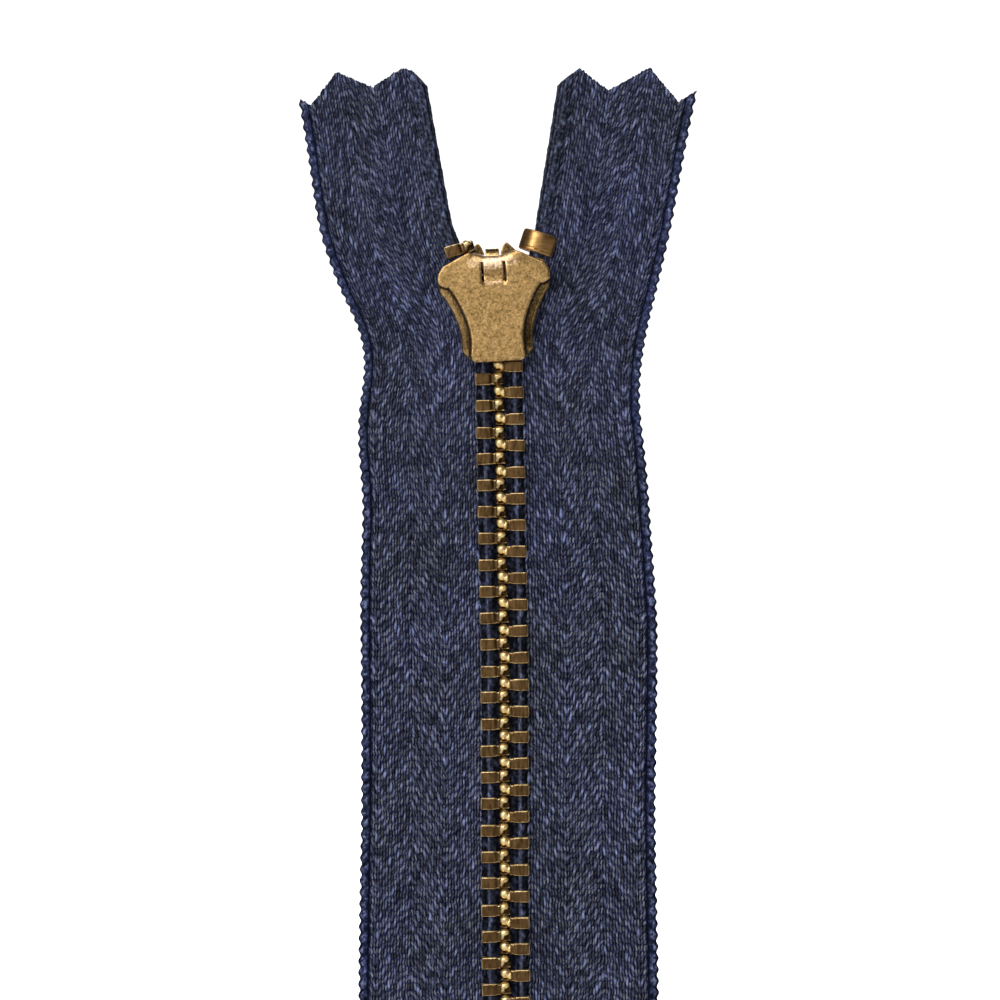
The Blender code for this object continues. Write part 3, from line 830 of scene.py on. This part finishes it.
def finish_metal(piece, name, material, body, place=None):
    piece.name = name
    piece.data.name = name
    if place is not None:
        piece.data.transform(place)
    piece.data.materials.clear()
    piece.data.materials.append(material)
    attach(piece, body)
    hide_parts(name)


def both_halves(points):
    """A closed outline, anticlockwise from its right half listed upwards."""
    return [*points, *((-u, w) for u, w in reversed(points) if abs(u) > 1e-9)]


SLIDER_PLACE = Matrix.Translation((-0.1 * MM, 0, 89.5 * MM)) @ Matrix.Rotation(math.radians(-2.6), 4, "Y")
PLATE_OUTER, PLATE_INNER, TAPE_SLOT = 2.15, 1.35, 0.5
PLATE_OUTLINE = (
    (2.3, 0.0), (2.95, 0.5), (3.53, 1.15), (3.55, 2.7), (3.8, 3.9), (4.25, 5.1), (4.85, 6.3),
    (5.42, 7.1), (5.52, 7.8), (5.5, 8.7), (5.05, 9.5), (3.5, 10.25), (2.3, 10.85), (1.3, 10.6),
    (0.8, 10.42), (0.0, 10.4),
)
# Depth behind the plate's face and distance in from its outline, down the stepped roll of each flank
ROLLED_FLANK = (
    (0.0, 1.08), (0.05, 1.02), (0.18, 0.95), (0.4, 0.87), (0.58, 0.77), (0.7, 0.64), (0.79, 0.5),
    (0.87, 0.36), (0.96, 0.22), (1.06, 0.1), (1.2, 0.02), (1.4, 0.0),
)
CHANNEL_OUTER = ((2.72, -1.0), (2.72, 1.8), (3.2, 4.0), (4.75, 8.3), (6.0, 12.0))
WEDGE = ((0.06, 7.0), (0.35, 8.2), (0.65, 9.6), (0.85, 12.0))
LUG_OUTLINE = ((0.8, 8.4), (2.4, 8.4), (2.95, 10.6), (2.15, 11.3), (1.4, 12.05), (1.05, 11.6), (0.8, 10.9))
PIVOT = Vector((0, 3.7, 10.1))
PIN_RADIUS = 0.45


def slider_die(u, y, w):
    """How far the die presses the back plate in: a dish in its bridge and a slope along its upper edge.

    The press is full on the outer face and dies away to nothing on the inner one.
    """
    share = min(max((-y - PLATE_INNER) / (PLATE_OUTER - PLATE_INNER), 0.0), 1.0)
    dish = 0.3 * math.exp(-(((w - 8.35) / 0.62) ** 2)) * (1 - float(eased(abs(u), 0.9, 1.3)))
    slope = 0.36 * float(eased(w + 0.1 * abs(u), 9.4, 11.1))
    return share * (dish + slope)


def slider_wear_and_painted_light(u, y, w):
    """Added wear of the slider: rubbed wear with a painted highlight along the upper edge of the back
    plate, painted highlights and painted shade down its bridge, painted shade in the flanks, deeper on the
    right, with die marks and a painted highlight on the left flank's outer rim, and painted shade on the
    far side about the lugs.
    """
    face = eased(-y, 1.3, 1.6)
    # Rubbed wear and a painted highlight along the upper edge of the plate's outer face.
    edge = np.exp(-(((w - 10.0 + 0.1 * np.abs(u)) / 0.65) ** 2)) * (1 - eased(np.abs(u), 1.8, 3.2))
    on_bridge = np.abs(u) < 0.85
    # Painted highlights on the bridge at its top and low in its dish, and painted shade between them.
    bridge = 0.45 * np.exp(-(((w - 9.5) / 0.6) ** 2)) + 0.32 * np.exp(-(((w - 7.7) / 0.25) ** 2))
    bridge = bridge - 0.13 * np.exp(-(((w - 8.7) / 0.35) ** 2))
    depth = PLATE_OUTER - np.abs(y)
    flank = (np.abs(u) > 2.2) * (w < 8.0)
    # Painted shade in the rolled flanks, with die marks following the depth.
    roll = 0.2 * eased(depth, 0.12, 0.3) * (1 - 0.55 * eased(depth, 0.75, 1.0))
    roll = roll + 0.05 * np.sin(depth * 45.0)
    # Painted shade on the far side, about the lugs.
    far_side_shade = 0.2 * eased(y, 0.8, 1.7)
    # The left flank gets less painted shade than the right, and a painted highlight on its outer rim.
    roll = roll * np.where(u < 0, 0.55, 1.0) - 0.25 * np.exp(-(((depth - 1.0) / 0.16) ** 2)) * (u < 0)
    return face * (0.34 * edge + on_bridge * bridge) - flank * roll * (depth > 0.12) - far_side_shade


def build_slider():
    """The pressed body: plates whose flanks roll over, the parting wedge, the neck and the lugs."""
    loop = rounded_loop(both_halves(PLATE_OUTLINE))
    pull = inward(loop)
    rolled = eased(loop[:, 1], 0.1, 1.0) * (1 - eased(loop[:, 1], 6.9, 8.0)) * (np.abs(loop[:, 0]) > 2.3)
    top_edge = eased(loop[:, 1], 9.9, 10.4) * (1 - eased(np.abs(loop[:, 0]), 1.6, 3.0))
    round_in = 0.14 + 0.7 * top_edge
    loops, levels = [], []
    for depth, flank in ROLLED_FLANK:
        plain = round_in * (1 - np.sqrt(np.clip(1 - (1 - np.clip(depth / round_in, 0, 1)) ** 2, 0, 1)))
        inset = plain + (flank - plain) * rolled
        loops.append(loop + pull * inset[:, None])
        levels.append(-PLATE_OUTER + depth)
    loops += loops[::-1]
    levels += [-y for y in levels[::-1]]
    body = stack("slider_body_made", loops, levels)
    cuts = []
    for side in (-1, 1):
        middle = [(-0.05, WEDGE[0][1]), (-0.05, CHANNEL_OUTER[0][1])]
        channel = [(side * u, w) for u, w in [*CHANNEL_OUTER, *reversed(WEDGE), *middle]]
        cuts.append(slab("tool", channel if side > 0 else channel[::-1], -PLATE_INNER, PLATE_INNER))
        low, high = sorted((side * 1.2, side * 7.0))
        cuts.append(block((low, -TAPE_SLOT, -1.0), (high, TAPE_SLOT, 12.0)))
        low, high = sorted((side * 0.97, side * 1.2))
        cuts.append(block((low, -2.6, 7.8), (high, -1.25, 9.8)))
    carve(body, cuts, "DIFFERENCE")
    lugs = []
    for side in (-1, 1):
        ear = [(side * u, w) for u, w in LUG_OUTLINE]
        lugs.append(slab("tool", ear if side > 0 else ear[::-1], PLATE_OUTER - 0.5, 4.6))
    carve(body, lugs, "UNION")
    carve(body, [rod(0.5, 9.0, PIVOT), block((1.4, 1.0, 2.6), (2.45, 2.6, 4.05))], "DIFFERENCE")
    # The slider's added wear holds painted highlights and painted shade besides rubbed wear.
    melt(body, 0.075, pressed=slider_die, wear_shift=slider_wear_and_painted_light)
    finish_metal(body, "slider_body", SLIDER_BRASS, "slider", SLIDER_PLACE)


def build_pin():
    pin = rod(PIN_RADIUS, 5.3, PIVOT)
    heads = [rod(0.62, 0.35, PIVOT + Vector((side * 2.62, 0, 0))) for side in (-1, 1)]
    carve(pin, heads, "UNION")
    melt(pin, 0.06)
    finish_metal(pin, "pull_pivot_pin", STOP_BRASS, "slider", SLIDER_PLACE)


EYE_RADIUS = 1.5
TAB_THICK = 0.9
RIBBON_HOLE_RADIUS = 1.5
RIBBON_HOLE_BELOW = 15.6  # under the pivot
TAB_OUTLINE = (
    (0.0, -20.1), (1.6, -19.7), (2.6, -18.6), (2.9, -16.5), (2.3, -3.4), (0.65, -2.3), (0.65, -0.4),
    (0.0, -0.4),
)
PANEL_OUTLINE = ((0.0, -13.2), (1.9, -13.0), (1.55, -4.6), (0.0, -4.4))


def build_pull():
    """The tab on its eye, with a raised border, a waist under the lugs and a hole for a finger ribbon."""
    tab = slab("tab", both_halves(TAB_OUTLINE), -TAB_THICK / 2, TAB_THICK / 2, edge=0.12)
    carve(tab, [rod(EYE_RADIUS, 1.36, (0, 0, 0))], "UNION")
    panel = both_halves(PANEL_OUTLINE)
    faces = [slab("tool", panel, -0.9, -0.33), slab("tool", panel, 0.33, 0.9)]
    pin_hole = rod(PIN_RADIUS + 0.07, 4.0, (0, 0, 0))
    ribbon_hole = rod(RIBBON_HOLE_RADIUS, 3.0, (0, 0, -RIBBON_HOLE_BELOW), "Y")
    carve(tab, [pin_hole, ribbon_hole, *faces], "DIFFERENCE")
    # The upper part of the eye is made darker.
    melt(tab, 0.075, wear_shift=lambda u, y, w: -0.16 * eased(w, 0.2, 1.0))
    place = SLIDER_PLACE @ Matrix.Translation(PIVOT * MM)
    finish_metal(tab, "pull_tab", SLIDER_BRASS, "pull", place)


def build_pawl():
    outline = [(-0.5, 8.3), (-0.5, 3.1), (2.25, 3.1), (2.25, 3.85), (0.5, 3.85), (0.5, 8.3)]
    pawl = slab("pawl", outline, 2.45, 2.8, edge=0.08)
    carve(pawl, [block((1.6, 0.95, 3.05), (2.2, 2.7, 3.55))], "UNION")
    melt(pawl, 0.05)
    finish_metal(pawl, "lock_pawl", PAWL_STEEL, "pawl", SLIDER_PLACE)


def build_stops():
    """Barrels of drawn wire crimped round the bead, open on the side of the tape."""
    half = STOP_HEIGHT / 2
    top = barrel("top_stop_made", -2.05, 1.5, 1.4, half)
    cord_hole = rod(CRIMP_RADIUS, 5.0, (0, 0, 0), "Z")
    carve(top, [cord_hole, block((0, -CRIMP_GAP, -3), (4, CRIMP_GAP, 3))], "DIFFERENCE")
    melt(top, 0.06, 2)
    x, z, lean = (float(value) for value in bead("right", TOP_STOP_AT))
    place = Matrix.Translation((x * MM, 0, z * MM)) @ Matrix.Rotation(lean + TOP_STOP_TURN, 4, "Y")
    finish_metal(top, "right_top_stop", STOP_BRASS, "right_open_end", place)
    bottom = barrel("bottom_stop_made", -2.7, 2.7, 1.35, half)
    cuts = []
    for side in (-1, 1):
        cuts.append(rod(CRIMP_RADIUS, 5.0, (side * BEAD_X, 0, 0), "Z"))
        low, high = sorted((side * BEAD_X, side * 4.0))
        cuts.append(block((low, -CRIMP_GAP, -3), (high, CRIMP_GAP, 3)))
    carve(bottom, cuts, "DIFFERENCE")
    melt(bottom, 0.06, 2)
    finish_metal(bottom, "bottom_stop", STOP_BRASS, "closed_end")


def barrel(name, low, high, thick, half):
    """A flattened barrel standing along Z, with a turned-in lip and a groove near its lower rim."""
    angles = np.linspace(0, 2 * math.pi, 72, endpoint=False)
    middle, width = (low + high) / 2, (high - low) / 2
    across, through = np.cos(angles), np.sin(angles)
    heights = np.array([-1.0, -0.97, -0.9, -0.74, -0.68, -0.62, -0.5, 0.0, 0.5, 0.8, 0.93, 1.0])
    insets = np.array([0.12, 0.05, 0.02, 0.0, 0.1, 0.0, 0.0, 0.0, 0.0, 0.02, 0.06, 0.16])
    rings = [
        np.stack([
            middle + (width - inset) * across, (thick - inset) * through, np.full(len(angles), half * h)
        ], -1)
        for h, inset in zip(heights, insets)
    ]
    count = len(angles)
    faces = [tuple(f) for f in grid_faces(len(rings), count, wrap=True)]
    faces += [tuple(range(count))[::-1], tuple(range((len(rings) - 1) * count, len(rings) * count))]
    return mesh_object(name, np.concatenate(rings), faces, smooth=False)


# ---------------------------------------------------------------- studio

VIEW_WIDTH = 98.35 * MM  # what the picture spans at the object
VIEW_CENTRE = Vector((-0.1 * MM, 0, 75.97 * MM))
VIEW_ROLL = math.radians(0.6)
LENS = 100.0
SENSOR_WIDTH = 36.0
FLOOR_Z = -16.2 * MM


def build_camera():
    data = bpy.data.cameras.new("camera")
    data.lens = LENS
    data.sensor_width = SENSOR_WIDTH
    data.clip_start = 0.01
    data.clip_end = 10.0
    camera = bpy.data.objects.new("camera", data)
    bpy.context.scene.collection.objects.link(camera)
    distance = VIEW_WIDTH * LENS / SENSOR_WIDTH
    camera.matrix_world = (
        Matrix.Translation(VIEW_CENTRE + Vector((0, -distance, 0)))
        @ Matrix.Rotation(VIEW_ROLL, 4, "Y")
        @ Matrix.Rotation(math.pi / 2, 4, "X")
    )
    bpy.context.scene.camera = camera


def build_floor():
    shape = bmesh.new()
    bmesh.ops.create_grid(shape, x_segments=8, y_segments=8, size=4.0)
    mesh = bpy.data.meshes.new("floor")
    shape.to_mesh(mesh)
    shape.free()
    floor = bpy.data.objects.new("floor", mesh)
    floor.location.z = FLOOR_Z
    floor.data.materials.append(floor_material())
    bpy.context.scene.collection.objects.link(floor)


def area_light(name, place, target, size, power):
    data = bpy.data.lights.new(name, "AREA")
    data.shape = "RECTANGLE"
    data.size, data.size_y = size
    data.energy = power
    light = bpy.data.objects.new(name, data)
    bpy.context.scene.collection.objects.link(light)
    light.location = place
    light.rotation_euler = (Vector(target) - Vector(place)).to_track_quat("-Z", "Y").to_euler()


def build_studio():
    scene = bpy.context.scene
    scene.view_settings.view_transform = "Standard"
    world = bpy.data.worlds.new("studio")
    world.use_nodes = True
    tree = world.node_tree
    background = tree.nodes["Background"]
    output = tree.nodes["World Output"]
    background.inputs["Color"].default_value = (1, 1, 1, 1)
    background.inputs["Strength"].default_value = 0.12
    seen = tree.nodes.new("ShaderNodeBackground")
    seen.inputs["Color"].default_value = (1, 1, 1, 1)
    seen.inputs["Strength"].default_value = 1.2
    path = tree.nodes.new("ShaderNodeLightPath")
    mix = tree.nodes.new("ShaderNodeMixShader")
    tree.links.new(path.outputs["Is Camera Ray"], mix.inputs["Fac"])
    tree.links.new(background.outputs[0], mix.inputs[1])
    tree.links.new(seen.outputs[0], mix.inputs[2])
    tree.links.new(mix.outputs[0], output.inputs["Surface"])
    scene.world = world
    middle = (0, 0, 0.07)
    area_light("key", (-0.42, -0.8, 0.42), middle, (0.3, 0.45), 4.2)
    area_light("top", (-0.15, -0.3, 0.85), middle, (0.5, 0.3), 3.2)
    area_light("front", (-0.05, -1.1, 0.2), middle, (0.6, 0.75), 1.2)
    area_light("rear", (0.2, 0.8, 0.5), middle, (0.6, 0.4), 5.0)


build_camera()
build_studio()
build_floor()
for label, side in SIDES:
    build_tape(label, side)
    build_cord(label, side)
    build_teeth(label, side)
build_slider()
build_pin()
build_pull()
build_pawl()
build_stops()
